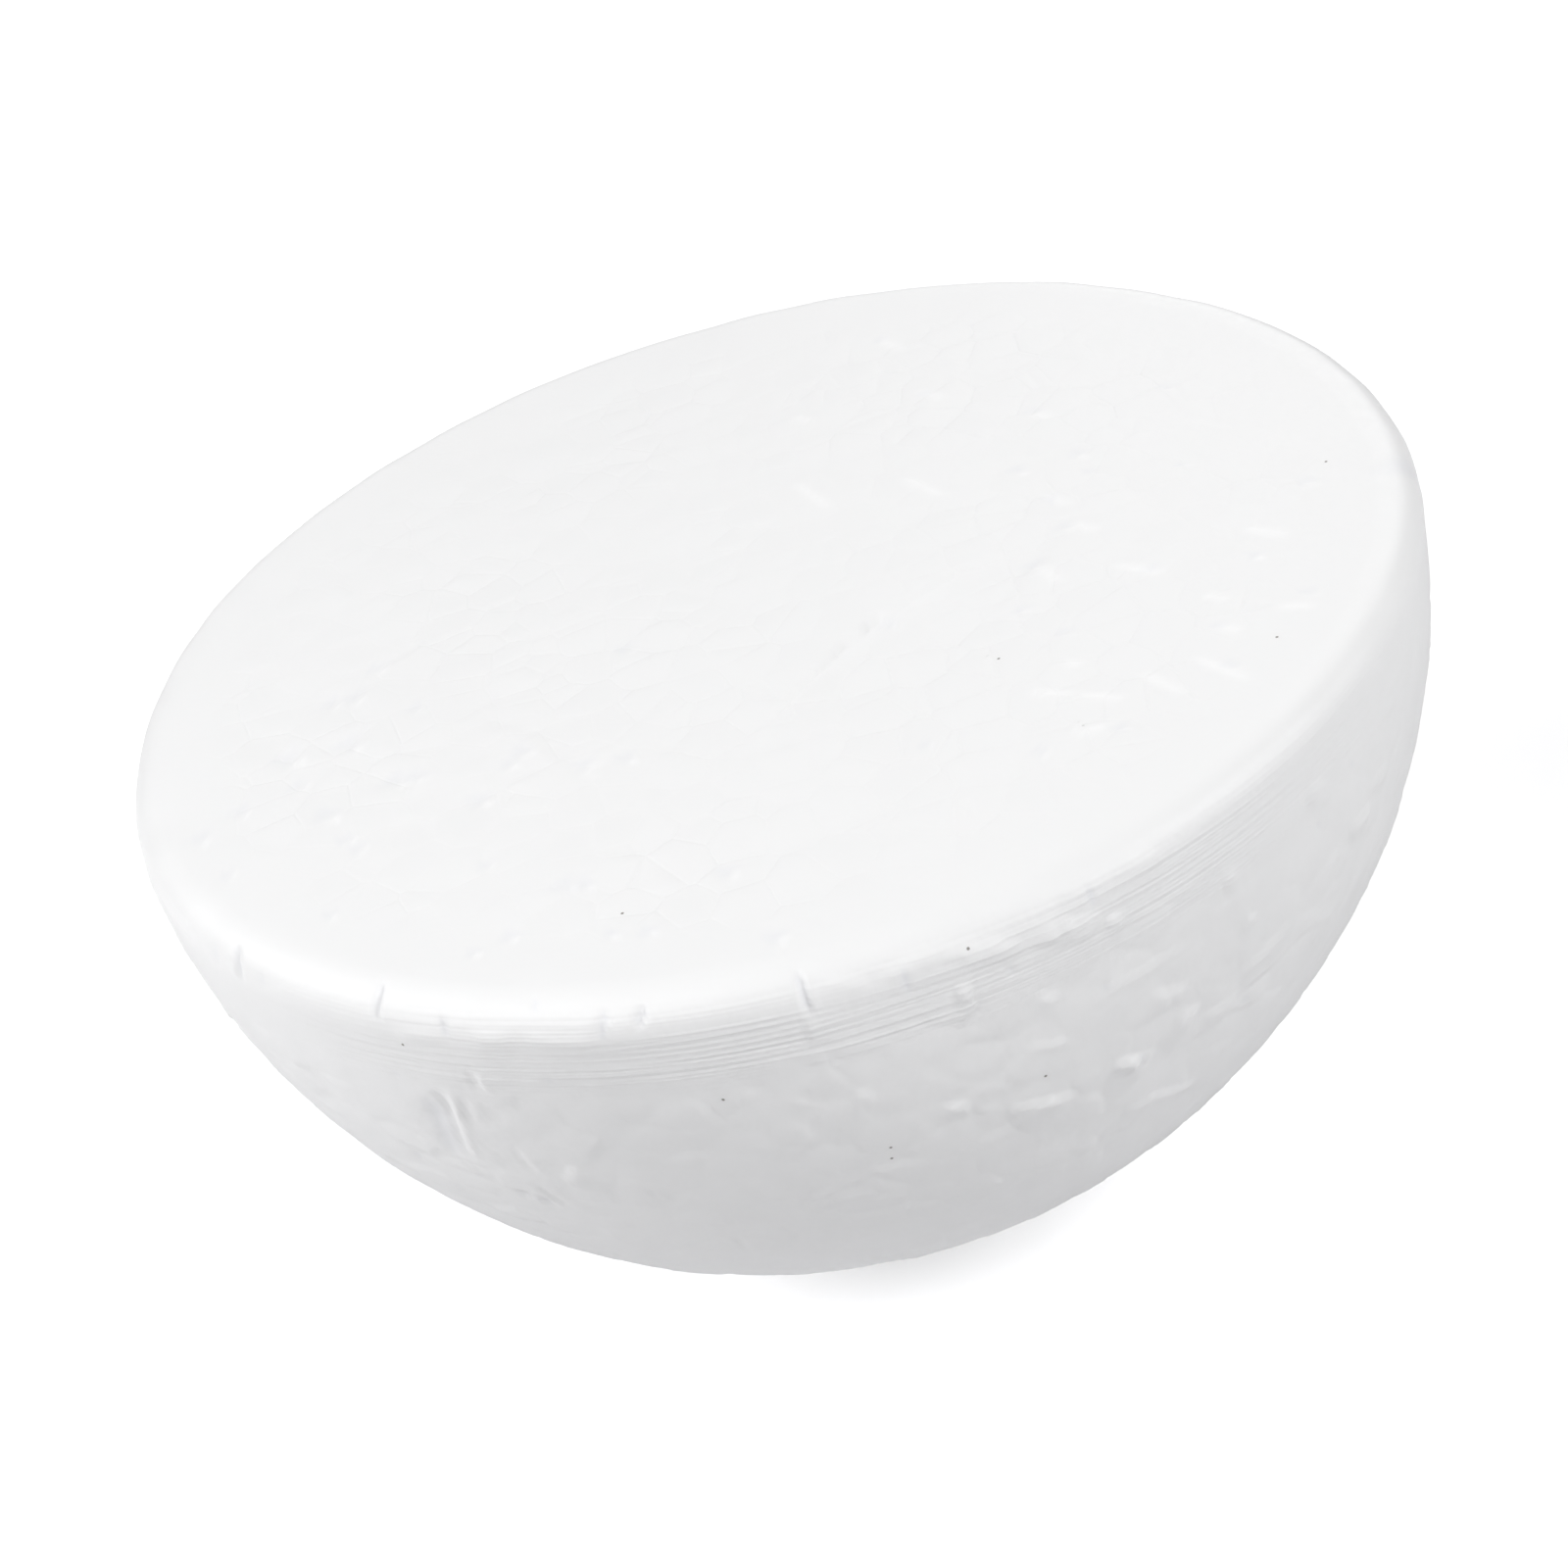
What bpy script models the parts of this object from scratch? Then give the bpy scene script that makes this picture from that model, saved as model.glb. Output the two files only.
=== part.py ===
"""A solid half ball of moulded expanded polystyrene, for craft work.

It stands on the crown of its dome with the flat face up, +Z points out of that face, and the origin is at
the foot of the crown. The rim between the face and the dome is rounded, and a thin band above the widest
circle carries that rounding, so the whole is a little deeper than half a ball.
"""

import math

import bpy

# Driving dimensions, in metres
BALL_RADIUS = 0.050
RIM_RADIUS = 0.003
# The crown is pressed flat over this radius, which takes an eighth of a millimetre off its height.
STAND_RADIUS = 0.0035

# Facets: around the ball, down the dome and over the rim
TURN_STEPS = 80
DOME_STEPS = 24
RIM_STEPS = 5

SMOOTH_BELOW = math.radians(30)

# Finish, as the photograph shows it
FOAM_COLOUR = (0.905, 0.905, 0.915, 1.0)
FOAM_ROUGHNESS = 0.75

# Heights above the crown's flat
EQUATOR_HEIGHT = math.sqrt(BALL_RADIUS ** 2 - STAND_RADIUS ** 2)
FACE_HEIGHT = EQUATOR_HEIGHT + RIM_RADIUS


def clear_scene():
    for old in list(bpy.data.objects):
        bpy.data.objects.remove(old, do_unlink=True)


def make_collection(name):
    collection = bpy.data.collections.new(name)
    bpy.context.scene.collection.children.link(collection)
    return collection


def foam_material():
    material = bpy.data.materials.new("expanded_polystyrene")
    material.use_nodes = True
    shader = material.node_tree.nodes["Principled BSDF"]
    shader.inputs["Base Color"].default_value = FOAM_COLOUR
    shader.inputs["Roughness"].default_value = FOAM_ROUGHNESS
    shader.inputs["Metallic"].default_value = 0.0
    material.diffuse_color = FOAM_COLOUR
    return material


def arc(centre, radius, start, end, steps):
    """Points (x, z) on a circle about the centre, from one angle to another, both ends included."""
    points = []
    for step in range(steps + 1):
        angle = start + (end - start) * step / steps
        points.append((centre[0] + radius * math.cos(angle), centre[1] + radius * math.sin(angle)))
    return points


def half_ball_profile():
    """Half of the ball's section, from the middle of the flat face over the rim and down to the crown."""
    quarter_turn = math.pi / 2
    crown_angle = -math.acos(STAND_RADIUS / BALL_RADIUS)
    rim = arc((BALL_RADIUS - RIM_RADIUS, EQUATOR_HEIGHT), RIM_RADIUS, quarter_turn, 0.0, RIM_STEPS)
    dome = arc((0.0, EQUATOR_HEIGHT), BALL_RADIUS, 0.0, crown_angle, DOME_STEPS)
    # The rim's last point is the dome's first, and the dome ends at the border of the crown's flat.
    return [(0.0, FACE_HEIGHT)] + rim + dome[1:] + [(0.0, 0.0)]


def turned(name, profile, material, collection):
    """A solid of revolution about Z from a profile of (x, z) points that runs down its outer side."""
    mesh = bpy.data.meshes.new(name)
    edges = [(i, i + 1) for i in range(len(profile) - 1)]
    mesh.from_pydata([(x, 0.0, z) for x, z in profile], edges, [])
    mesh.materials.append(material)
    body = bpy.data.objects.new(name, mesh)
    collection.objects.link(body)
    screw = body.modifiers.new("turn", "SCREW")
    screw.axis = "Z"
    screw.steps = TURN_STEPS
    screw.render_steps = TURN_STEPS
    screw.use_merge_vertices = True
    screw.merge_threshold = RIM_RADIUS / 100  # only the two ends on the axis merge
    return body


def shade_smooth_body(body):
    """Bakes the turned shape into the mesh, smooth over the dome and the rim."""
    graph = bpy.context.evaluated_depsgraph_get()
    solid = bpy.data.meshes.new_from_object(body.evaluated_get(graph))
    body.modifiers.clear()
    body.data = solid
    solid.name = body.name
    solid.shade_smooth()
    solid.set_sharp_from_angle(angle=SMOOTH_BELOW)


def main():
    clear_scene()
    collection = make_collection("polystyrene_half_ball")
    ball = turned("half_ball", half_ball_profile(), foam_material(), collection)
    shade_smooth_body(ball)


main()
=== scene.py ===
import math

import bpy
import numpy as np
from mathutils import Matrix, Vector
from mathutils.bvhtree import BVHTree


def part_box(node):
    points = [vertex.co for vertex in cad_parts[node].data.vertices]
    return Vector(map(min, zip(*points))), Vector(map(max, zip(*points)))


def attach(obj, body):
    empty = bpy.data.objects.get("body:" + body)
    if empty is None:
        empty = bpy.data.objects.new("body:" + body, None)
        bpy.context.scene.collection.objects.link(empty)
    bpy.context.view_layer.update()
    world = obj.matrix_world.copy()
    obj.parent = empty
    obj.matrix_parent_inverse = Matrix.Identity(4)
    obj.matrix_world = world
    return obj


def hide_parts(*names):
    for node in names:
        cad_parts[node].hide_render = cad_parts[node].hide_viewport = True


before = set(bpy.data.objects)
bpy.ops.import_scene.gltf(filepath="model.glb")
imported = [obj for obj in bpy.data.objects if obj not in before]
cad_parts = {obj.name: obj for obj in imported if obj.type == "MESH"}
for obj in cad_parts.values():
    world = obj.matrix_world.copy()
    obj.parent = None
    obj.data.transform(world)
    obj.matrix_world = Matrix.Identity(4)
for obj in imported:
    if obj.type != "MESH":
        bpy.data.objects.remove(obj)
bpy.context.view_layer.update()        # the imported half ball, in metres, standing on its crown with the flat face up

scene = bpy.context.scene
millimetre = 0.001

# the half ball's own sizes, read from its node
lowCorner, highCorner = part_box("half_ball")
ballRadius = (highCorner.x - lowCorner.x) / 2
faceHeight = highCorner.z
print("frame: half ball", round(2 * ballRadius / millimetre, 1), "mm across and",
      round(faceHeight / millimetre, 1), "mm deep")

# the camera, fitted to the outline of the ball in the photograph
cameraSettings = {
    "distance": 4.167,          # from the middle of the widest circle, in ball radii
    "elevation": 32.85,         # degrees above the level
    "roll": -17.03,             # degrees, the photograph's tilt
    "sideways": -0.0349,        # how far the ball's middle lies right of the line of sight, in ball radii
    "upwards": 0.2615,          # and above it
    "lens": 62.27,              # millimetres
    "sensor": 36.0,             # millimetres, across the photograph
    "photoSide": 1600,          # pixels across the photograph
    "clip": (0.01, 20),         # the nearest and the farthest that it sees, in metres
}


def cameraAxes(settings):
    # right and up lie square to the line of sight, turned about it by the roll; back points at the viewer
    lift, roll = math.radians(settings["elevation"]), math.radians(settings["roll"])
    back = Vector((0, -math.cos(lift), math.sin(lift)))
    level, upright = Vector((1, 0, 0)), Vector((0, math.sin(lift), math.cos(lift)))
    right = math.cos(roll) * level + math.sin(roll) * upright
    up = math.cos(roll) * upright - math.sin(roll) * level
    return right, up, back


def makeCamera(settings, middle):
    # it stands at its distance from the middle, moved so that the middle lies off the line of sight
    right, up, back = cameraAxes(settings)
    offset = settings["distance"] * back - settings["sideways"] * right - settings["upwards"] * up
    data = bpy.data.cameras.new("photoCamera")
    data.sensor_width = settings["sensor"]
    data.lens = settings["lens"]
    data.clip_start, data.clip_end = settings["clip"]
    photoCamera = bpy.data.objects.new("photoCamera", data)
    turned = Matrix((right, up, back)).transposed().to_4x4()
    photoCamera.matrix_world = Matrix.Translation(middle + ballRadius * offset) @ turned
    scene.collection.objects.link(photoCamera)
    scene.camera = photoCamera
    return photoCamera


# the surface that carries the relief: face, rim, dome and the crown's small flat
shapeSettings = {
    "rimRadius": 0.003,         # the rounding between face and dome
    "gridCells": 160,           # cells across the face's grid; the crown's has half as many
    "rimRows": 12,              # rings of cells over the rim
    "upperRows": 64,            # rings on the dome's top, where the marks are finest
    "upperReach": 0.026,        # how far down those rings go
    "lowerRows": 28,            # rings from there down to the crown's grid
    "lowerReach": 0.044,
    "crowding": 0.5,            # how much closer the columns lie on the side that the photograph shows
}
rimRadius = shapeSettings["rimRadius"]
equatorHeight = faceHeight - rimRadius
standRadius = math.sqrt(ballRadius ** 2 - equatorHeight ** 2)
# distances along the section, from the face's middle to the middle of the crown's flat
faceRun = ballRadius - rimRadius
rimRun = faceRun + rimRadius * math.pi / 2
crownTurn = math.acos(standRadius / ballRadius)
domeRun = rimRun + ballRadius * crownTurn
sectionRun = domeRun + standRadius


def rimTurnAt(run):
    # how far round the rim's quarter circle a distance along the section lies
    return np.clip((run - faceRun) / rimRadius, 0, math.pi / 2)


def sectionAt(run):
    # radius, height and the outward normal's two parts at a distance along the section: a level line over the
    # face, a quarter circle at the rim, the ball's own circle down the dome, and a level line under the crown
    rimTurn = rimTurnAt(run)
    domeTurn = np.clip((run - rimRun) / ballRadius, 0, crownTurn)
    level = 0 * run
    places = [run < faceRun, run < rimRun, run < domeRun]
    radius = np.select(places, [run, faceRun + rimRadius * np.sin(rimTurn), ballRadius * np.cos(domeTurn)],
                       sectionRun - run)
    height = np.select(places, [level + faceHeight, equatorHeight + rimRadius * np.cos(rimTurn),
                                equatorHeight - ballRadius * np.sin(domeTurn)], 0.0)
    outward = np.select(places, [level, np.sin(rimTurn), np.cos(domeTurn)], 0.0)
    upward = np.select(places, [level + 1, np.cos(rimTurn), -np.sin(domeTurn)], -1.0)
    return radius, height, outward, upward


def discGrid(cells):
    # a square grid laid on a disc: each square ring becomes a circle, with its corners on the diagonals
    steps = np.linspace(-1, 1, cells + 1)
    across, along = np.meshgrid(steps, steps, indexing="ij")
    share = np.maximum(np.abs(across), np.abs(along))
    wide = np.abs(across) >= np.abs(along)
    longer, shorter = np.where(wide, across, along), np.where(wide, along, across)
    ratio = shorter / np.where(longer == 0, 1, longer)
    turn = np.where(wide, math.pi / 4 * ratio, math.pi / 2 - math.pi / 4 * ratio)
    turn = turn + np.where(longer < 0, math.pi, 0)
    return share.ravel(), turn.ravel()


def gridQuads(numbers):
    # the four corners of every cell of a grid of vertex numbers
    corners = [numbers[:-1, :-1], numbers[1:, :-1], numbers[1:, 1:], numbers[:-1, 1:]]
    return np.stack(corners, axis=-1).reshape(-1, 4)


def borderOf(grid):
    # the grid's outermost vertices once round, from the corner where x is high and y is low
    return np.concatenate([grid[-1, :-1], grid[:0:-1, -1], grid[0, :0:-1], grid[:-1, 0]])


def halfBallGrid(settings):
    # every vertex as a distance along the section and a turn about the axis, and the cells that join them: a
    # disc grid for the face, rings of cells over the rim and the dome, and a coarser disc grid at the crown
    cells = settings["gridCells"]
    share, turn = discGrid(cells)
    crownShare, crownTurns = discGrid(cells // 2)
    upperEnd, ringsEnd = rimRun + settings["upperReach"], rimRun + settings["lowerReach"]
    rowRuns = np.concatenate([np.linspace(faceRun, rimRun, settings["rimRows"] + 1)[1:],
                              np.linspace(rimRun, upperEnd, settings["upperRows"] + 1)[1:],
                              np.linspace(upperEnd, ringsEnd, settings["lowerRows"] + 1)[1:-1]])
    columns = 4 * cells
    columnTurns = -math.pi / 4 + 2 * math.pi * np.arange(columns) / columns
    runs = np.concatenate([share * faceRun, np.repeat(rowRuns, columns),
                           sectionRun - crownShare * (sectionRun - ringsEnd)])
    turns = np.concatenate([turn, np.tile(columnTurns, len(rowRuns)), crownTurns])
    # columns crowd towards the front, -Y, less so near the middle of the face and of the crown
    spread = np.concatenate([share, np.ones(len(rowRuns) * columns), crownShare])
    turns = turns - settings["crowding"] * spread * np.cos(turns)
    faceGrid = np.arange(share.size).reshape(cells + 1, -1)
    rowGrid = share.size + np.arange(len(rowRuns) * columns).reshape(-1, columns)
    crownGrid = np.arange(crownShare.size).reshape(cells // 2 + 1, -1) + share.size + rowGrid.size
    rings = np.vstack([borderOf(faceGrid), rowGrid])
    rings = np.hstack([rings, rings[:, :1]])
    quads = np.concatenate([gridQuads(faceGrid), gridQuads(rings), gridQuads(crownGrid)[:, ::-1]])
    # the last ring's columns meet the crown's border two to one, in cells of five corners
    fine, coarse = rings[-1], borderOf(crownGrid)
    coarse = np.append(coarse, coarse[0])
    joins = np.stack([fine[:-2:2], coarse[:-1], coarse[1:], fine[2::2], fine[1::2]], axis=-1)
    return runs, turns, [quads, joins]


def placeOn(runs, turns):
    # points and outward normals: the section's radius and height, turned about Z
    radius, height, outward, upward = sectionAt(runs)
    around = np.stack([np.cos(turns), np.sin(turns)], axis=-1)
    points = np.column_stack([around * radius[:, None], height])
    normals = np.column_stack([around * outward[:, None], upward])
    return points, normals


def ease(low, high, value):
    # 0 below low and 1 above high, with a smooth rise between them
    share = np.clip((value - low) / (high - low), 0, 1)
    return share * share * (3 - 2 * share)


def window(value, rises, falls):
    # 0, then 1 from where it rises to where it falls, then 0 again
    return ease(*rises, value) * (1 - ease(*falls, value))


def azimuthOf(turns):
    # turns about Z as azimuths from 0 to 360 degrees
    return np.degrees(turns) % 360


# the fused beads that the foam is made of; the mesh and the materials read the same pattern
beadSettings = {
    "width": 0.0036,            # mean width of a bead
    "flatness": 1.3,            # how much lower than wide the beads lie on the dome
    "unevenness": 0.85,         # 0 packs the beads in rows, 1 at random
    "seamWidth": 0.10,          # half width of the sunk seam in the mesh, in beads
    # the face's value, then the dome's
    "seam": (0.05 * millimetre, 0.06 * millimetre),     # depth of the seams
    "level": (0.02 * millimetre, 0.035 * millimetre),   # how far one bead may stand above another
    "swell": (0.01 * millimetre, 0.03 * millimetre),    # how far a bead's middle swells
    "tilt": (0.045, 0.06),                              # how steeply a bead may lean
    # seams open in patches: their size in beads, the noise at which they open, and a closed seam's depth
    "patchWidth": 3,
    "patchOpens": (0.42, 0.60),
    "closedSeam": 0.3,
    "waveWidth": 0.014,         # wide, faint waves of the whole surface
    "waveHeight": 0.30 * millimetre,
    # no beads show on the rim: how far inside the face's edge they fade out, and how far below it they return
    "faceFade": (6 * millimetre, 2 * millimetre),
    "domeFade": (1 * millimetre, 5 * millimetre),
}


def readPatterns(points, settings):
    # Blender's own textures read at each point: how far it lies from the nearest seam, in beads, three
    # numbers of its bead's own, the bead's middle, and two smooth noises. Geometry nodes on a mesh of bare
    # points do the reading
    probeMesh = bpy.data.meshes.new("patternProbe")
    probeMesh.vertices.add(len(points))
    probeMesh.vertices.foreach_set("co", points.astype(np.float32).ravel())
    probe = bpy.data.objects.new("patternProbe", probeMesh)
    scene.collection.objects.link(probe)
    tree = bpy.data.node_groups.new("patternProbe", "GeometryNodeTree")
    tree.interface.new_socket("Geometry", in_out="INPUT", socket_type="NodeSocketGeometry")
    tree.interface.new_socket("Geometry", in_out="OUTPUT", socket_type="NodeSocketGeometry")
    position = tree.nodes.new("GeometryNodeInputPosition")
    flow = tree.nodes.new("NodeGroupInput").outputs[0]
    width = settings["width"]
    # name, kind of texture, its size, the output that is read and how many numbers that gives
    readings = [
        ("seam", "DISTANCE_TO_EDGE", width, "Distance", 1),
        ("bead", "F1", width, "Color", 3),
        ("middle", "F1", width, "Position", 3),
        ("wave", "NOISE", settings["waveWidth"], "Fac", 1),
        ("patch", "NOISE", settings["patchWidth"] * width, "Fac", 1),
    ]
    for name, kind, size, output, parts in readings:
        texture = tree.nodes.new("ShaderNodeTexNoise" if kind == "NOISE" else "ShaderNodeTexVoronoi")
        if kind != "NOISE":
            texture.feature = kind
            texture.inputs["Randomness"].default_value = settings["unevenness"]
        texture.inputs["Scale"].default_value = 1 / size
        tree.links.new(position.outputs[0], texture.inputs["Vector"])
        keep = tree.nodes.new("GeometryNodeStoreNamedAttribute")
        keep.data_type = "FLOAT" if parts == 1 else "FLOAT_VECTOR"
        keep.inputs["Name"].default_value = name
        tree.links.new(texture.outputs[output], keep.inputs["Value"])
        tree.links.new(flow, keep.inputs["Geometry"])
        flow = keep.outputs[0]
    tree.links.new(flow, tree.nodes.new("NodeGroupOutput").inputs[0])
    probe.modifiers.new("read", "NODES").node_group = tree
    readMesh = probe.evaluated_get(bpy.context.evaluated_depsgraph_get()).data
    patterns = {}
    for name, _, _, _, parts in readings:
        values = np.empty(len(points) * parts, np.float32)
        readMesh.attributes[name].data.foreach_get("value" if parts == 1 else "vector", values)
        patterns[name] = values if parts == 1 else values.reshape(-1, 3)
    bpy.data.objects.remove(probe)
    bpy.data.meshes.remove(probeMesh)
    bpy.data.node_groups.remove(tree)
    return patterns


def beadsShown(runs, settings):
    # how clearly the beads show: not at all on the rim, and fully a few millimetres away on either side of it
    fadeStart, fadeEnd = settings["faceFade"]
    onFace = 1 - ease(faceRun - fadeStart, faceRun - fadeEnd, runs)
    onDome = ease(*settings["domeFade"], runs - rimRun)
    return np.maximum(onFace, onDome)


def beadRelief(points, runs, settings):
    # each bead stands a little high or low, leans and swells by its own numbers and sinks at its seam; the
    # seam opens and closes in patches, and the whole surface waves
    places = points * (1, 1, settings["flatness"])
    patterns = readPatterns(places, settings)
    onDome = ease(faceRun, rimRun, runs)
    face, dome = np.array([settings[name] for name in ("seam", "level", "swell", "tilt")]).T
    seam, level, swell, tilt = face[:, None] + (dome - face)[:, None] * onDome
    inside = ease(0, settings["seamWidth"], patterns["seam"])
    shown = beadsShown(runs, settings)
    closed = settings["closedSeam"]
    openness = shown * (closed + (1 - closed) * ease(*settings["patchOpens"], patterns["patch"]))
    lean = np.einsum("ij,ij->i", patterns["bead"] - 0.5, places - patterns["middle"])
    stand = level * (patterns["bead"][:, 0] - 0.5) + tilt * lean
    relief = shown * (inside * stand + swell * ease(0, 0.5, patterns["seam"]))
    relief += (patterns["wave"] - 0.5) * settings["waveHeight"] - seam * (1 - inside) * openness
    # what the materials read: each bead's own tone from -1 to 1, to which the painted glints of crumbs and streaks are
    # added later, and how open the seams are
    tone = (2 * patterns["bead"][:, 1] - 1) * inside * shown
    return relief, {"beadToneAndGlint": tone, "seamOpen": openness}


# what all the marks share
markSettings = {
    "slant": (0.31, 0.87, 0.39),            # a direction that no mark faces; a hollow's lobes turn from it
    "taper": ((-0.15, 0.2), (0.8, 1.15)),   # where along its length a stroke rises, and where it fades
    "lipPlace": 1.6,                        # how far from the line the lip lies, in widths
    "ledgeRise": 0.7,                       # half width of a ledge's rise, in widths
    "nearLevel": 0.2,                       # a side that climbs less than this counts as level
}


class Marks:
    # gathers relief, one mark at a time, over the points near it, and the painted shade and painted glint that each
    # mark puts in the colour
    def __init__(self, points, settings):
        self.points = points
        self.settings = settings
        self.relief = np.zeros(len(points))
        self.paintedShade = np.zeros(len(points))
        self.pale = np.zeros(len(points))

    def around(self, middle, reach):
        # the numbers of the points that lie within reach of the middle
        gaps = self.points - middle
        return np.flatnonzero(np.einsum("ij,ij->i", gaps, gaps) < reach ** 2)

    def colour(self, near, share, shade, pale):
        # painted shade in hollows, gaps, dents and cracks, and painted glints on crumbs and streaks: where marks meet,
        # the stronger one shows
        self.paintedShade[near] = np.maximum(self.paintedShade[near], shade * share)
        self.pale[near] = np.maximum(self.pale[near], pale * share)

    def hollow(self, middle, axis, radius, depth, lobes=0.25, turn=0.0, shade=0.0, pale=0.0):
        # a soft three-sided hollow: depth times one minus the squared share of its radius, squared
        near = self.around(middle, 2 * radius)
        side = np.cross(axis, self.settings["slant"])
        side /= np.linalg.norm(side)
        gaps = self.points[near] - middle
        across, along = gaps @ side, gaps @ np.cross(axis, side)
        lobed = radius * (1 + lobes * np.cos(3 * (np.arctan2(along, across) - turn)))
        share = np.clip(np.hypot(across, along) / lobed, 0, 1)
        bowl = (1 - share ** 2) ** 2
        self.relief[near] -= depth * bowl
        # a sunk hollow may carry painted shade; a raised one, a crumb, a painted glint
        self.colour(near, bowl, shade, pale)

    def stroke(self, start, end, axis, width, sink=0.0, lip=0.0, ledge=0.0, fade=0.002, shade=0.0, pale=0.0):
        # a line from start to end: a sunk groove with a bell-shaped section, a raised lip on its lower side,
        # or a ledge where all the surface below the line stands proud and falls back over the fade distance
        settings = self.settings
        length = np.linalg.norm(end - start)
        direction = (end - start) / length
        # the lower side, or the rear one where the line's sides are level
        below = np.cross(direction, axis)
        if below[2] > 0 or (abs(below[2]) < settings["nearLevel"] and below[1] > 0):
            below = -below
        near = self.around((start + end) / 2, length / 2 + 3 * fade)
        gaps = self.points[near] - start
        along, across = gaps @ direction / length, gaps @ below / width
        ends = window(along, *settings["taper"])
        bell = np.exp(-across ** 2) * ends
        raised = lip * np.exp(-(across - settings["lipPlace"]) ** 2)
        rise = settings["ledgeRise"]
        raised += ledge * ease(-rise, rise, across) * np.exp(-np.maximum(across, 0) * width / fade)
        self.relief[near] += raised * ends - sink * bell
        # a sunk line may carry painted shade; a raised streak, a painted glint
        self.colour(near, bell, shade, pale)


scene.view_settings.view_transform = "Standard"
camera = makeCamera(cameraSettings, Vector((0, 0, equatorHeight)))
bpy.context.view_layer.update()
solidTree = BVHTree.FromObject(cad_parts["half_ball"], bpy.context.evaluated_depsgraph_get())


def underPixel(pixel, tree=solidTree):
    # the point and the outward normal of the solid, or of another tree, where the camera sees a pixel
    across, down = pixel
    settings = cameraSettings
    pitch = settings["sensor"] / settings["photoSide"] / settings["lens"]
    half = settings["photoSide"] / 2
    ray = Vector(((across - half) * pitch, (half - down) * pitch, -1)).normalized()
    place = camera.matrix_world.translation
    hit, axis, _, _ = tree.ray_cast(place, camera.matrix_world.to_3x3() @ ray)
    if hit is None:
        raise ValueError(f"no foam under pixel {across}, {down}")
    return np.array(hit), np.array(axis)


def hollowUnder(marks, pixel, radius, depth, **look):
    # a hollow at a pixel of the photograph
    middle, axis = underPixel(pixel)
    marks.hollow(middle, axis, radius, depth, **look)


def strokeUnder(marks, start, end, width, **look):
    # a stroke from one pixel of the photograph to another
    first, axis = underPixel(start)
    marks.stroke(first, underPixel(end)[0], axis, width, **look)


faceMarks = {
    # raised crumbs with a painted glint, each with a shallow gap between the beads beside it that carries painted
    # shade: pixel across, pixel down, millimetres
    "crumbs": [
        (306, 779, 1.0), (366, 765, 0.9), (413, 801, 0.8), (433, 797, 0.7), (344, 837, 0.9),
        (359, 861, 0.6), (372, 868, 0.6), (213, 859, 0.7), (254, 832, 0.7), (311, 805, 0.6),
        (542, 771, 0.8), (527, 783, 0.6), (500, 820, 0.8), (604, 784, 0.7), (647, 777, 0.7),
        (586, 908, 0.8), (604, 907, 0.7), (527, 958, 0.6), (488, 975, 0.5), (343, 937, 0.5),
        (238, 897, 0.5), (370, 715, 0.7), (345, 721, 0.6), (431, 726, 0.6), (668, 954, 0.6),
        (629, 955, 0.5), (750, 893, 0.7), (645, 665, 0.6), (1045, 483, 0.6), (1095, 540, 0.6),
        (905, 350, 0.5), (390, 685, 0.6), (502, 886, 0.5), (800, 960, 0.7), (1150, 745, 0.5),
        (1262, 682, 0.5), (951, 405, 0.5), (1060, 422, 0.5), (1106, 466, 0.6), (1116, 484, 0.5),
        (1080, 512, 0.6), (1062, 580, 0.7), (1182, 586, 0.6), (1210, 476, 0.4), (1196, 397, 0.5),
        (1341, 494, 0.6), (1287, 570, 0.5), (1341, 608, 0.5), (1251, 643, 0.5), (915, 637, 0.6),
        (1066, 769, 0.5), (951, 763, 0.5), (1048, 624, 0.5), (1092, 648, 0.5),
    ],
    "crumbRadius": 0.85,        # in its size, as are the other measures
    "crumbHeight": 0.10,
    "crumbGlint": 15,            # painted glint, in bead tints
    "gapPlace": (-14, -7),      # pixels from the crumb
    "gapRadius": 1.7,
    "gapDepth": 0.12,
    "gapShade": 0.24,           # how far its colour goes to the painted shade colour
    "turns": (2.4, 1.7),        # how far the lobes of each gap and of each crumb turn from the last one's
    # seams that stand open: from one pixel to another
    "seams": [
        ((1050, 705), (1140, 710)), ((1220, 670), (1270, 695)), ((1170, 690), (1205, 705)),
        ((1230, 610), (1340, 620)), ((930, 490), (980, 510)), ((1270, 545), (1310, 550)),
        ((980, 815), (1000, 830)), ((825, 940), (850, 940)), ((924, 904), (968, 903)),
        ((592, 785), (618, 782)), ((1138, 576), (1186, 586)), ((1036, 623), (1066, 624)),
        ((1210, 428), (1262, 436)),
    ],
    "seamWidth": 0.30 * millimetre,
    "seamSink": 0.09 * millimetre,
    # streaks raised a little, with a painted glint: from one pixel to another
    "streaks": [
        ((899, 347), (919, 356)), ((940, 399), (960, 407)), ((812, 494), (845, 517)),
        ((810, 426), (827, 430)), ((1057, 421), (1070, 426)), ((1070, 504), (1088, 514)),
        ((922, 489), (963, 506)), ((1094, 534), (1118, 542)), ((1056, 578), (1082, 594)),
        ((1138, 578), (1186, 587)), ((1269, 540), (1313, 546)), ((1230, 610), (1253, 614)),
        ((1305, 620), (1341, 620)), ((1245, 641), (1265, 645)), ((1222, 673), (1273, 694)),
        ((1168, 687), (1206, 707)), ((1050, 705), (1094, 708)), ((1102, 709), (1146, 712)),
        ((1094, 747), (1128, 741)), ((1086, 675), (1102, 679)),
    ],
    "streakWidth": 0.42 * millimetre,
    "streakHeight": 0.05 * millimetre,
    # painted glint of the streaks, in bead tints
    "streakGlint": 13,
}


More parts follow.
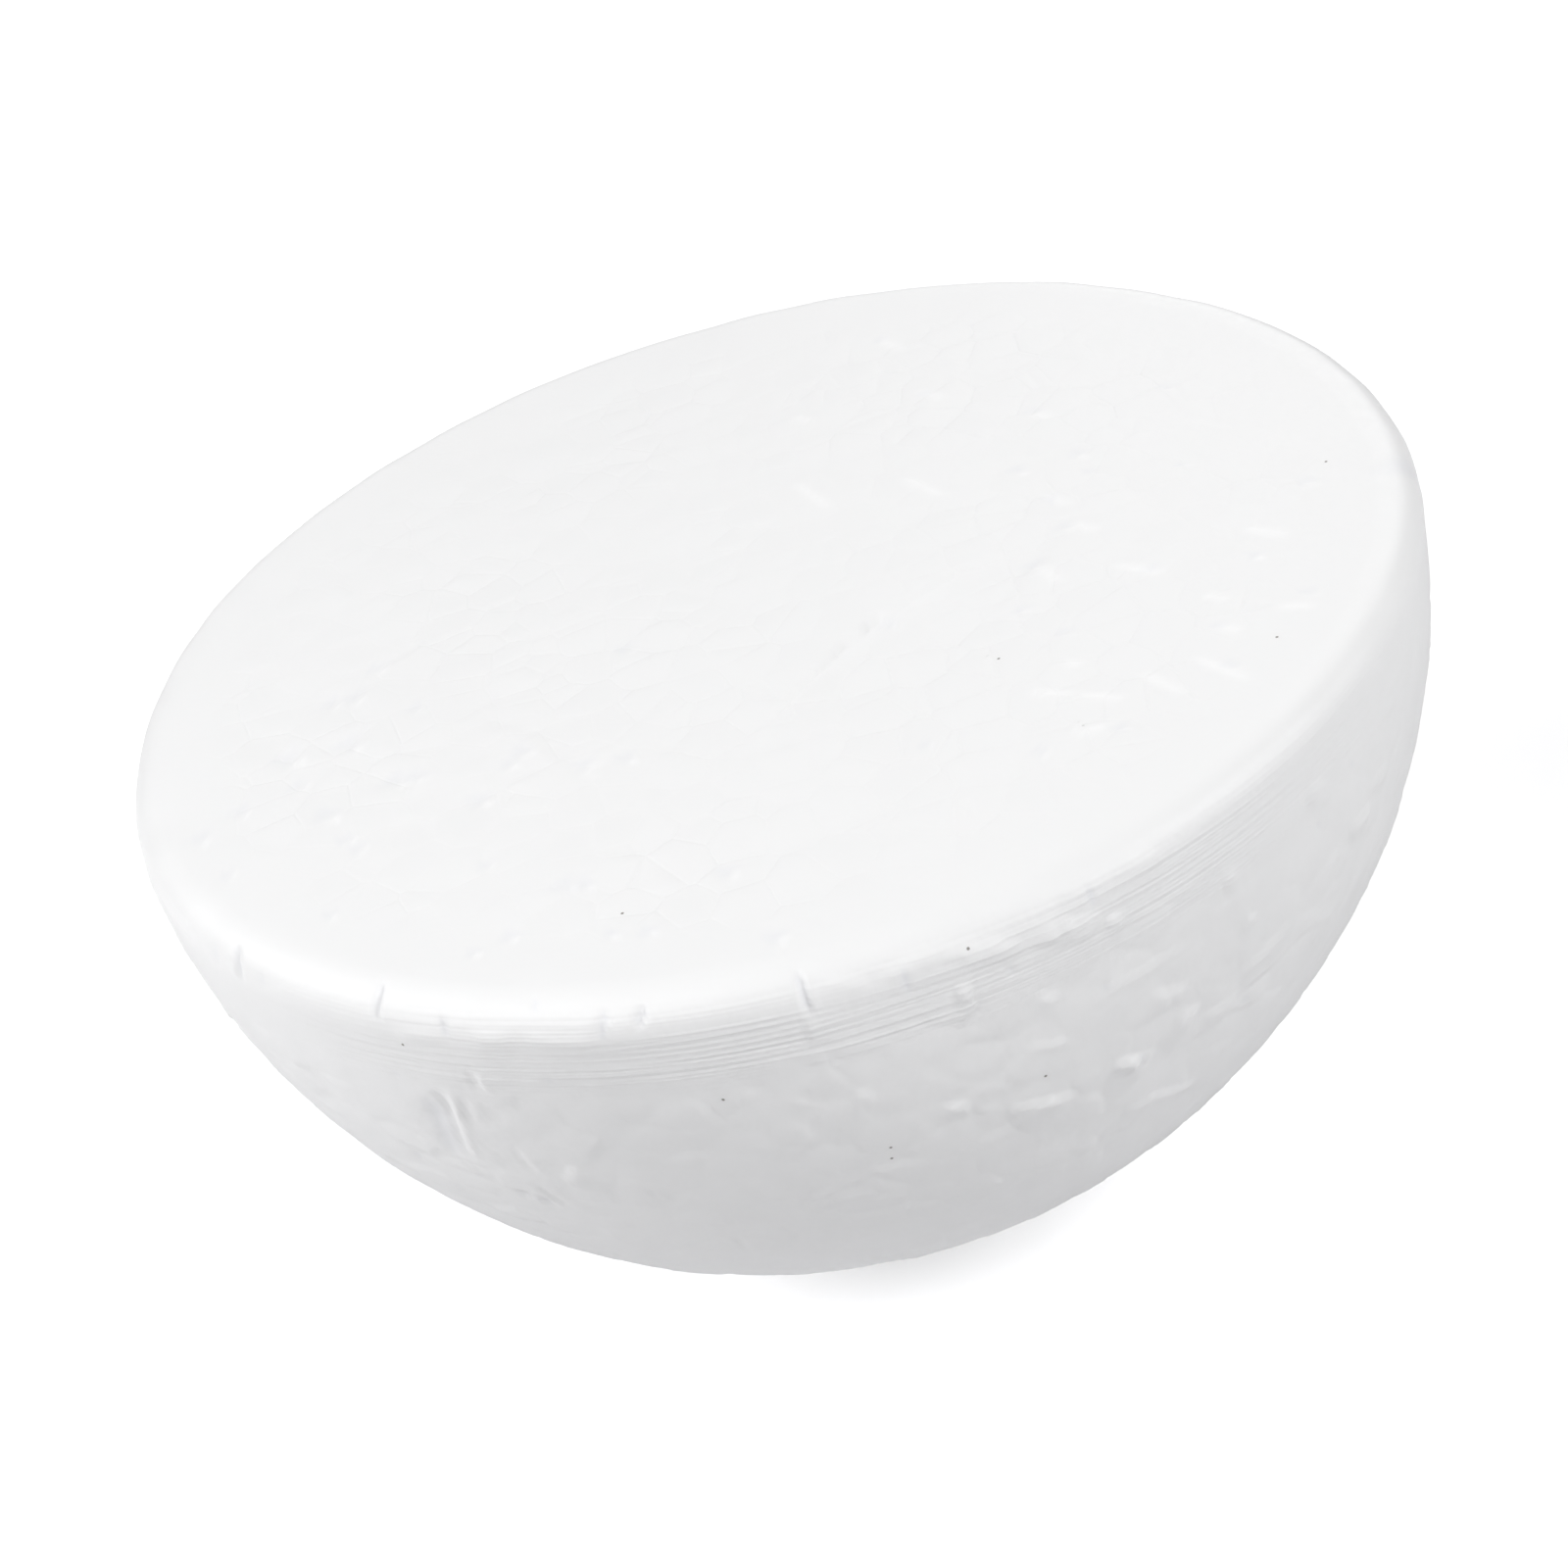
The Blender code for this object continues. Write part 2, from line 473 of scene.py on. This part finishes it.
def markFace(marks, settings):
    right, lower = settings["gapPlace"]
    gapTurn, crumbTurn = settings["turns"]
    for count, (across, down, size) in enumerate(settings["crumbs"]):
        gap = (across + right * size, down + lower * size)
        size *= millimetre
        hollowUnder(marks, gap, settings["gapRadius"] * size, settings["gapDepth"] * size,
                    turn=gapTurn * count, shade=settings["gapShade"])
        hollowUnder(marks, (across, down), settings["crumbRadius"] * size, -settings["crumbHeight"] * size,
                    turn=crumbTurn * count, pale=settings["crumbGlint"])
    for start, end in settings["seams"]:
        strokeUnder(marks, start, end, settings["seamWidth"], sink=settings["seamSink"],
                    lip=settings["seamSink"])
    for start, end in settings["streaks"]:
        strokeUnder(marks, start, end, settings["streakWidth"], sink=-settings["streakHeight"],
                    pale=settings["streakGlint"])


domeMarks = {
    # bead edges that stand proud and catch the light: from one pixel to another, height in millimetres
    "ledges": [
        ((1140, 1083), (1176, 1074), 0.26), ((1041, 1127), (1091, 1116), 0.17),
        ((1152, 1133), (1179, 1121), 0.12), ((1177, 1121), (1221, 1108), 0.12),
        ((1206, 1036), (1224, 1030), 0.15), ((1234, 1038), (1262, 1020), 0.10),
        ((1122, 1010), (1219, 959), 0.09), ((1061, 1018), (1080, 1013), 0.14),
        ((1179, 1014), (1208, 1008), 0.10), ((1270, 940), (1286, 933), 0.12),
        ((1250, 898), (1262, 888), 0.12), ((1380, 845), (1397, 822), 0.20),
        ((1334, 818), (1342, 796), 0.10), ((1341, 940), (1362, 930), 0.10),
        ((1049, 1068), (1088, 1062), 0.08), ((872, 1117), (890, 1114), 0.10),
        ((966, 1128), (990, 1126), 0.14), ((975, 1011), (990, 1006), 0.16),
        ((1271, 993), (1323, 936), 0.14), ((1268, 1019), (1343, 944), -0.08),
        ((1000, 1130), (1022, 1128), 0.05), ((577, 1204), (586, 1190), 0.14),
        ((329, 1096), (364, 1111), 0.06), ((820, 1040), (828, 1062), 0.07),
    ],
    "ledgeScale": 2.1,          # all heights times this
    "ledgeWidth": 0.32 * millimetre,
    "ledgeFade": 1.3 * millimetre,
    # small dents: pixel across, pixel down, radius in millimetres
    "dents": [
        (443, 1115, 0.5), (402, 1095, 0.4), (561, 1102, 0.4), (333, 1123, 0.4), (427, 1180, 0.6),
        (665, 1216, 0.4), (220, 975, 0.8), (267, 998, 0.5), (1165, 1079, 0.6), (1032, 990, 0.4),
        (1346, 841, 0.5), (1378, 781, 0.4), (1387, 878, 0.4), (1274, 1023, 0.5), (1128, 1008, 0.5),
        (737, 1122, 0.4), (535, 1218, 0.7), (560, 1226, 0.8),
    ],
    "dentDepth": 0.35,          # in radii
    "dentTurn": 2.4,            # how far each dent's lobes turn from the last one's
    "dentShade": 0.2,
    # wide flats of the moulding: pixel across, pixel down, radius and depth in millimetres
    "flats": [(1290, 1040, 20, 0.40), (1180, 1130, 14, 0.10), (1425, 650, 14, -0.20), (260, 1040, 14, -0.12)],
}


def markDome(marks, settings):
    for start, end, height in settings["ledges"]:
        strokeUnder(marks, start, end, settings["ledgeWidth"], fade=settings["ledgeFade"],
                    ledge=settings["ledgeScale"] * height * millimetre)
    for count, (across, down, radius) in enumerate(settings["dents"]):
        radius *= millimetre
        hollowUnder(marks, (across, down), radius, settings["dentDepth"] * radius,
                    turn=settings["dentTurn"] * count, shade=settings["dentShade"])
    for across, down, radius, depth in settings["flats"]:
        hollowUnder(marks, (across, down), radius * millimetre, depth * millimetre, lobes=0.0)


# the scrape on the dome's left: one wide groove and strokes beside it, from one pixel to another
scrapeMarks = {
    "groove": ((441, 1122), (464, 1176)),
    "grooveWidth": 0.85 * millimetre,
    "grooveSink": 0.16 * millimetre,
    "grooveShade": 0.3,
    # sink and lip in millimetres
    "strokes": [
        ((454, 1116), (477, 1177), 0.22, 0.16), ((474, 1121), (480, 1143), 0.12, 0.08),
        ((481, 1092), (489, 1112), 0.12, 0.08), ((468, 1183), (492, 1193), 0.06, 0.12),
        ((474, 1176), (494, 1186), 0.08, 0.08), ((526, 1175), (545, 1196), 0.08, 0.06),
        ((552, 1212), (578, 1230), 0.12, 0.10),
    ],
    "strokeWidth": 0.38 * millimetre,
}


def markScrape(marks, settings):
    strokeUnder(marks, *settings["groove"], settings["grooveWidth"], sink=settings["grooveSink"],
                shade=settings["grooveShade"])
    for start, end, sink, lip in settings["strokes"]:
        strokeUnder(marks, start, end, settings["strokeWidth"], sink=sink * millimetre, lip=lip * millimetre)


# the rim: cracks across it, fine ridges along it, one soft dent, and its own slow changes of shape
rimMarks = {
    # from one pixel to another, sink in millimetres
    "cracks": [
        ((243, 966), (247, 996), 0.45), ((393, 1004), (384, 1038), 0.40), ((452, 1040), (456, 1058), 0.22),
        ((660, 1028), (650, 1047), 0.26), ((618, 1034), (614, 1060), 0.18), ((815, 996), (825, 1030), 0.30),
        ((921, 990), (926, 1012), 0.12), ((548, 1018), (545, 1032), 0.15), ((1108, 905), (1114, 922), 0.12),
    ],
    "crackWidth": 0.24 * millimetre,
    "crackLip": 0.25,           # in its sink
    "crackShade": 0.35,
    # from one pixel to another, height in millimetres
    "ridges": [
        ((905, 992), (950, 970), 0.30), ((950, 970), (1035, 958), 0.30), ((1057, 945), (1127, 934), 0.30),
        ((1060, 955), (1112, 946), 0.26), ((980, 974), (1035, 964), 0.22), ((842, 999), (885, 1002), 0.20),
        ((1130, 937), (1146, 933), 0.35), ((1080, 912), (1130, 889), 0.25), ((1130, 889), (1180, 868), 0.25),
        ((408, 1052), (447, 1054), 0.22), ((483, 1056), (515, 1057), 0.20), ((540, 1059), (604, 1061), 0.18),
    ],
    "ridgeWidth": 0.25 * millimetre,
    "ridgeFade": 0.7 * millimetre,
    "dent": (1430, 482),
    "dentRadius": 2.4 * millimetre,
    "dentDepth": 0.10 * millimetre,
    "dentLobes": 0.1,
    "dentShade": 0.3,
    "bulges": 0.03 * millimetre,        # how far the rim swells and shrinks along its length
    "bulgeWaves": (23, 9, 41),          # waves round the rim: the first comes and goes with the second
    "bulgeStarts": (1.0, 0.4, 0.0),     # where each starts, in radians
    "bulgeRipple": 0.6,                 # the third wave's height against the others
    "bulgeFade": 1 * millimetre,        # how far they reach into the face; into the dome it is twice that
    "fullness": 0.58 * millimetre,      # how much fuller the rim is, and so sharper, away from the front left
    "softTurns": ((145, 185), (272, 312)),  # azimuths over which it turns soft, and sharp again, in degrees
    # where the fine streaks start and end: distances below the rim's lower end, and azimuths in degrees
    "streakRuns": ((-3 * millimetre, -1 * millimetre), (2.5 * millimetre, 5.5 * millimetre)),
    "streakTurns": ((220, 236), (293, 343)),
    "streakElsewhere": 0.3,     # how clearly they show on the other sides
}


def rimRelief(runs, turns, settings):
    # waves along the rim that end a little way into face and dome, and a fuller section away from the front
    # left: fullest halfway round the rim, by the squared sine of twice its turn
    fade = settings["bulgeFade"]
    onRim = window(runs, (faceRun - fade, faceRun + fade), (rimRun, rimRun + 2 * fade))
    first, second, third = (np.sin(waves * turns + start)
                            for waves, start in zip(settings["bulgeWaves"], settings["bulgeStarts"]))
    swell = first * second + settings["bulgeRipple"] * third
    sharp = 1 - window(azimuthOf(turns), *settings["softTurns"])
    full = np.sin(2 * rimTurnAt(runs)) ** 2
    return settings["bulges"] * swell * onRim + settings["fullness"] * full * sharp


def markRim(marks, settings):
    for start, end, sink in settings["cracks"]:
        sink *= millimetre
        strokeUnder(marks, start, end, settings["crackWidth"], sink=sink, lip=settings["crackLip"] * sink,
                    shade=settings["crackShade"])
    for start, end, height in settings["ridges"]:
        strokeUnder(marks, start, end, settings["ridgeWidth"], ledge=height * millimetre,
                    fade=settings["ridgeFade"])
    hollowUnder(marks, settings["dent"], settings["dentRadius"], settings["dentDepth"],
                lobes=settings["dentLobes"], shade=settings["dentShade"])


def streaksShown(runs, turns, settings):
    # 1 at the front in a narrow band round the rim's lower end, less on the other sides, 0 off the band
    band = window(runs - rimRun, *settings["streakRuns"])
    front = window(azimuthOf(turns), *settings["streakTurns"])
    elsewhere = settings["streakElsewhere"]
    return band * (elsewhere + (1 - elsewhere) * front)


# the sides that the photograph does not show carry the same kinds of marks, drawn at random
hiddenMarks = {
    "seed": 7,
    "ledges": 60,
    "dents": 34,
    "tries": 4,                     # places drawn for each mark, so that enough of them lie out of sight
    "reach": (0.05, 0.9),           # where they lie between rim and crown
    "ledgeLength": (1.2, 4.0),      # millimetres
    "ledgeLean": (-0.3, 0.3),       # how steeply they climb
    "ledgeHeight": (0.12, 0.40),    # millimetres
    "dentRadius": (0.35, 0.75),     # millimetres
}


def markHidden(marks, settings, look):
    # ledges and dents with the look of the dome's own, wherever the camera does not see
    draw = np.random.default_rng(settings["seed"])
    place = np.array(camera.matrix_world.translation)
    total = settings["ledges"] + settings["dents"]
    drawn = settings["tries"] * total
    runs = rimRun + (domeRun - rimRun) * draw.uniform(*settings["reach"], drawn)
    turns = draw.uniform(0, 2 * math.pi, drawn)
    middles, axes = placeOn(runs, turns)
    hidden = np.einsum("ij,ij->i", axes, place - middles) <= 0
    middles, axes, turns = middles[hidden][:total], axes[hidden][:total], turns[hidden][:total]
    along = np.column_stack([-np.sin(turns), np.cos(turns), 0 * turns])
    for count in range(settings["ledges"]):
        length = draw.uniform(*settings["ledgeLength"]) * millimetre
        lean = draw.uniform(*settings["ledgeLean"]) * np.cross(axes[count], along[count])
        reach = (along[count] + lean) * length / 2
        marks.stroke(middles[count] - reach, middles[count] + reach, axes[count], look["ledgeWidth"],
                     ledge=draw.uniform(*settings["ledgeHeight"]) * millimetre, fade=look["ledgeFade"])
    for count in range(settings["ledges"], total):
        radius = draw.uniform(*settings["dentRadius"]) * millimetre
        marks.hollow(middles[count], axes[count], radius, look["dentDepth"] * radius,
                     turn=look["dentTurn"] * count, shade=look["dentShade"])


def meshFromArrays(name, points, faceSets):
    # a smooth mesh from its points and its cells, which come in sets with the same number of corners
    mesh = bpy.data.meshes.new(name)
    mesh.vertices.add(len(points))
    mesh.vertices.foreach_set("co", points.astype(np.float32).ravel())
    corners = np.concatenate([faces.ravel() for faces in faceSets])
    sizes = np.concatenate([np.full(len(faces), faces.shape[1]) for faces in faceSets])
    mesh.loops.add(corners.size)
    mesh.loops.foreach_set("vertex_index", corners.astype(np.int32))
    mesh.polygons.add(sizes.size)
    mesh.polygons.foreach_set("loop_start", (np.cumsum(sizes) - sizes).astype(np.int32))
    mesh.update(calc_edges=True)
    mesh.validate()
    mesh.shade_smooth()
    return mesh


def makeHalfBall():
    # the grid laid on the section, pushed along its normals by the relief; the materials read the tones
    runs, turns, faceSets = halfBallGrid(shapeSettings)
    points, normals = placeOn(runs, turns)
    marks = Marks(points, markSettings)
    markFace(marks, faceMarks)
    markDome(marks, domeMarks)
    markScrape(marks, scrapeMarks)
    markRim(marks, rimMarks)
    markHidden(marks, hiddenMarks, domeMarks)
    relief, tones = beadRelief(points, runs, beadSettings)
    relief += marks.relief + rimRelief(runs, turns, rimMarks)
    # the painted glints of crumbs and streaks join the beads' own random tone
    tones["beadToneAndGlint"] += marks.pale
    # painted shade in the hollows, gaps, dents and cracks
    tones["paintedShade"] = marks.paintedShade
    tones["streaks"] = streaksShown(runs, turns, rimMarks)
    points = points + normals * relief[:, None]
    points[:, 2] = np.maximum(points[:, 2], 0)      # nothing reaches below what the ball stands on
    mesh = meshFromArrays("foamHalfBall", points, faceSets)
    for name, values in tones.items():
        mesh.attributes.new(name, "FLOAT", "POINT").data.foreach_set("value", values.astype(np.float32))
    # the second finish for every cell that reaches past the face's edge, and for the joins at the crown
    quads, joins = faceSets
    pastEdge = runs[quads].max(axis=1) > faceRun + 0.01 * millimetre
    onDome = np.append(pastEdge, np.ones(len(joins), bool))
    mesh.polygons.foreach_set("material_index", onDome.astype(np.int32))
    halfBall = bpy.data.objects.new("foamHalfBall", mesh)
    scene.collection.objects.link(halfBall)
    print("half ball:", len(points), "vertices,", 2 * len(quads) + 3 * len(joins), "triangles, relief from",
          round(relief.min() / millimetre, 2), "to", round(relief.max() / millimetre, 2), "mm")
    return halfBall


# the foam's two finishes: the flat face and the moulded dome with its rim
foamSettings = {
    # bumps in millimetres: the skin's grain, the face's fine seams and the streaks under the rim
    "face": {"roughness": 0.49, "grain": 0.010, "seams": 0.022, "streaks": 0, "tint": 0.004},
    "dome": {"roughness": 0.44, "grain": 0.014, "seams": 0, "streaks": 0.07, "tint": 0.010},
    "roughSpread": 0.16,        # how much rougher the grain's high places are
    "colour": (0.93, 0.93, 0.932),
    # painted shade: the colour of the hollows, gaps, dents and cracks where shade falls
    "paintedShadeColour": (0.80, 0.81, 0.86, 1),
    "gloss": 0.35,              # specular level of the beads' skin
    "grainWidth": 0.0005,
    "seamWidth": 0.05,          # half width of the face's fine seams, in beads
    "streakScale": (90, 90, 4000),      # streaks a metre along X, Y and Z
    "speckColour": (0.30, 0.28, 0.26, 1),
    "speckRadius": 0.07 * millimetre,
    "speckSoftness": 2,         # where its soft border ends, in radii
    # specks of dirt, by pixel across and pixel down
    "specks": [
        (411, 1066), (738, 1122), (988, 968), (1019, 672), (1303, 650),
        (910, 1182), (1067, 1098), (635, 932), (1353, 471), (909, 1171),
    ],
}


def rise(nodes, links, value, low, high, first, last):
    # a smooth rise from first at low to last at high
    node = nodes.new("ShaderNodeMapRange")
    node.interpolation_type = "SMOOTHSTEP"
    for name, number in zip(("From Min", "From Max", "To Min", "To Max"), (low, high, first, last)):
        node.inputs[name].default_value = number
    links.new(value, node.inputs["Value"])
    return node.outputs["Result"]


def combine(nodes, links, operation, first, second, third=None):
    # one Math node over sockets and plain numbers
    node = nodes.new("ShaderNodeMath")
    node.operation = operation
    for socket, value in zip(node.inputs, (first, second, third)):
        if isinstance(value, bpy.types.NodeSocket):
            links.new(value, socket)
        elif value is not None:
            socket.default_value = value
    return node.outputs["Value"]


def attribute(nodes, name):
    # a number that the mesh carries at its vertices
    node = nodes.new("ShaderNodeAttribute")
    node.attribute_name = name
    return node.outputs["Fac"]


def scaled(nodes, links, place, scale):
    # the place stretched along X, Y and Z
    node = nodes.new("ShaderNodeMapping")
    node.inputs["Scale"].default_value = scale
    links.new(place, node.inputs["Vector"])
    return node.outputs["Vector"]


def mixColours(nodes, links, share, first, second):
    # the first colour, a socket or plain numbers, and the second one by its share
    node = nodes.new("ShaderNodeMix")
    node.data_type = "RGBA"
    if isinstance(first, bpy.types.NodeSocket):
        links.new(first, node.inputs["A"])
    else:
        node.inputs["A"].default_value = first
    node.inputs["B"].default_value = second
    links.new(share, node.inputs["Factor"])
    return node.outputs["Result"]


def skinGroup(settings, tree):
    # what face and dome share: the beads' fine grain, and a mask of the specks, each a dot round its point
    group = bpy.data.node_groups.new("foamSkin", "ShaderNodeTree")
    group.interface.new_socket("Place", in_out="INPUT", socket_type="NodeSocketVector")
    for name in ("Grain", "Speck"):
        group.interface.new_socket(name, in_out="OUTPUT", socket_type="NodeSocketFloat")
    nodes, links = group.nodes, group.links
    source, result = nodes.new("NodeGroupInput"), nodes.new("NodeGroupOutput")
    grain = nodes.new("ShaderNodeTexNoise")
    grain.inputs["Scale"].default_value = 1 / settings["grainWidth"]
    grain.inputs["Detail"].default_value = 0
    links.new(source.outputs["Place"], grain.inputs["Vector"])
    links.new(grain.outputs["Fac"], result.inputs["Grain"])
    nearest = 1.0
    for pixel in settings["specks"]:
        away = nodes.new("ShaderNodeVectorMath")
        away.operation = "DISTANCE"
        away.inputs[1].default_value = underPixel(pixel, tree)[0]
        links.new(source.outputs["Place"], away.inputs[0])
        nearest = combine(nodes, links, "MINIMUM", away.outputs["Value"], nearest)
    radius = settings["speckRadius"]
    speck = rise(nodes, links, nearest, radius, settings["speckSoftness"] * radius, 1, 0)
    links.new(speck, result.inputs["Speck"])
    return group


def seamHeight(nodes, links, place, settings):
    # fine seams between the beads, from 0 on the beads to -1 in an open seam
    edges = nodes.new("ShaderNodeTexVoronoi")
    edges.feature = "DISTANCE_TO_EDGE"
    edges.inputs["Scale"].default_value = 1 / beadSettings["width"]
    edges.inputs["Randomness"].default_value = beadSettings["unevenness"]
    links.new(scaled(nodes, links, place, (1, 1, beadSettings["flatness"])), edges.inputs["Vector"])
    depth = rise(nodes, links, edges.outputs["Distance"], 0, settings["seamWidth"], -1, 0)
    return combine(nodes, links, "MULTIPLY", depth, attribute(nodes, "seamOpen"))


def streakHeight(nodes, links, place, settings):
    # fine lines that run level round the rim: a noise squeezed in height
    lines = nodes.new("ShaderNodeTexNoise")
    lines.inputs["Scale"].default_value = 1
    lines.inputs["Detail"].default_value = 0
    links.new(scaled(nodes, links, place, settings["streakScale"]), lines.inputs["Vector"])
    return combine(nodes, links, "MULTIPLY", lines.outputs["Fac"], attribute(nodes, "streaks"))


def foamMaterial(name, finish, group, settings):
    # one finish: beads with painted glints, painted shade in hollows and cracks, and specks of dirt in the colour, the
    # grain in the roughness, and the bumps
    material = bpy.data.materials.new(name)
    material.use_nodes = True
    nodes, links = material.node_tree.nodes, material.node_tree.links
    shader = nodes["Principled BSDF"]
    shader.inputs["Specular IOR Level"].default_value = settings["gloss"]
    place = nodes.new("ShaderNodeTexCoord").outputs["Object"]
    skin = nodes.new("ShaderNodeGroup")
    skin.node_tree = group
    links.new(place, skin.inputs["Place"])
    # each bead a little lighter or darker at random and lighter still under a painted glint, then the painted shade
    # and the specks
    tone = combine(nodes, links, "MULTIPLY_ADD", attribute(nodes, "beadToneAndGlint"), finish["tint"], 1.0)
    tinted = nodes.new("ShaderNodeVectorMath")
    tinted.operation = "SCALE"
    tinted.inputs[0].default_value = settings["colour"]
    links.new(tone, tinted.inputs["Scale"])
    paintedShade = attribute(nodes, "paintedShade")
    colour = mixColours(nodes, links, paintedShade, tinted.outputs["Vector"], settings["paintedShadeColour"])
    colour = mixColours(nodes, links, skin.outputs["Speck"], colour, settings["speckColour"])
    links.new(colour, shader.inputs["Base Color"])
    rough = combine(nodes, links, "MULTIPLY_ADD", skin.outputs["Grain"], settings["roughSpread"],
                    finish["roughness"])
    links.new(rough, shader.inputs["Roughness"])
    # the bumps add up to one height in millimetres
    height = combine(nodes, links, "MULTIPLY", skin.outputs["Grain"], finish["grain"])
    for kind, pattern in (("seams", seamHeight), ("streaks", streakHeight)):
        if finish[kind]:
            lines = pattern(nodes, links, place, settings)
            height = combine(nodes, links, "MULTIPLY_ADD", lines, finish[kind], height)
    bump = nodes.new("ShaderNodeBump")
    bump.inputs["Distance"].default_value = millimetre
    links.new(height, bump.inputs["Height"])
    links.new(bump.outputs["Normal"], shader.inputs["Normal"])
    return material


# the studio: a pale floor, a dim sky and soft lamps round the ball
studioSettings = {
    "floorSide": 4.0,
    "floorColour": (0.72, 0.72, 0.73, 1),
    "floorGlow": (0.55, 0.55, 0.55, 1),     # light that only the camera sees, so that the floor shows white
    "sky": (0.029, 0.0295, 0.03, 1),        # what lights the ball
    "backdrop": (0.57, 0.57, 0.57, 1),      # what the camera sees past the floor
    "target": (0, 0, 0.04),                 # where the lamps point
    # azimuth and elevation in degrees, distance and side in metres, power in watts
    "lamps": {
        "left": (165, 30, 0.8, 0.3, 2.8),
        "frontLeft": (217, 45, 0.8, 0.3, 2.85),
        "right": (330, 38, 1.6, 0.6, 16.4),
        "back": (70, 20, 0.8, 0.3, 1.3),
    },
}


def forCamera(nodes, links, others, shown):
    # the shown colour for the camera's own rays, and the other for all the rest
    path = nodes.new("ShaderNodeLightPath")
    return mixColours(nodes, links, path.outputs["Is Camera Ray"], others, shown)


def makeFloor(settings):
    # a matt floor with a glow that only the camera sees
    half = settings["floorSide"] / 2
    corners = np.array([(-half, -half, 0), (half, -half, 0), (half, half, 0), (-half, half, 0)])
    mesh = meshFromArrays("studioFloor", corners, [np.array([[0, 1, 2, 3]])])
    floor = bpy.data.objects.new("studioFloor", mesh)
    scene.collection.objects.link(floor)
    material = bpy.data.materials.new("studioFloor")
    material.use_nodes = True
    nodes, links = material.node_tree.nodes, material.node_tree.links
    nodes.remove(nodes["Principled BSDF"])
    matt = nodes.new("ShaderNodeBsdfDiffuse")
    matt.inputs["Color"].default_value = settings["floorColour"]
    glow = nodes.new("ShaderNodeEmission")
    links.new(forCamera(nodes, links, (0, 0, 0, 1), settings["floorGlow"]), glow.inputs["Color"])
    both = nodes.new("ShaderNodeAddShader")
    links.new(matt.outputs["BSDF"], both.inputs[0])
    links.new(glow.outputs["Emission"], both.inputs[1])
    links.new(both.outputs["Shader"], nodes["Material Output"].inputs["Surface"])
    material.cycles.emission_sampling = "NONE"      # the glow lights nothing, so nothing samples it
    mesh.materials.append(material)


def makeSky(settings):
    # a dim sky lights the ball, and the camera sees a paler backdrop in its place
    sky = bpy.data.worlds.new("studioSky")
    scene.world = sky
    sky.use_nodes = True
    nodes, links = sky.node_tree.nodes, sky.node_tree.links
    colour = forCamera(nodes, links, settings["sky"], settings["backdrop"])
    links.new(colour, nodes["Background"].inputs["Color"])


def makeLamps(settings):
    # each lamp stands at its azimuth and elevation round the target and faces it
    target = Vector(settings["target"])
    for name, (azimuth, elevation, distance, side, power) in settings["lamps"].items():
        turn, lift = math.radians(azimuth), math.radians(elevation)
        away = Vector((math.cos(lift) * math.cos(turn), math.cos(lift) * math.sin(turn), math.sin(lift)))
        data = bpy.data.lights.new(name + "Lamp", "AREA")
        data.shape = "SQUARE"
        data.size = side
        data.energy = power
        lamp = bpy.data.objects.new(name + "Lamp", data)
        lamp.location = target + distance * away
        lamp.rotation_euler = away.to_track_quat("Z", "Y").to_euler()
        scene.collection.objects.link(lamp)


foamBall = makeHalfBall()
# the specks are placed on the finished surface, which stands off the solid by the relief
bpy.context.view_layer.update()
shownTree = BVHTree.FromObject(foamBall, bpy.context.evaluated_depsgraph_get())
skin = skinGroup(foamSettings, shownTree)
for name in ("face", "dome"):
    finish = foamMaterial("foam" + name.capitalize(), foamSettings[name], skin, foamSettings)
    foamBall.data.materials.append(finish)
print("foam: two finishes with", len(foamSettings["specks"]), "specks")
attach(foamBall, "root")
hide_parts("half_ball")
makeFloor(studioSettings)
makeSky(studioSettings)
makeLamps(studioSettings)
print("studio: floor, sky and", len(studioSettings["lamps"]), "lamps")
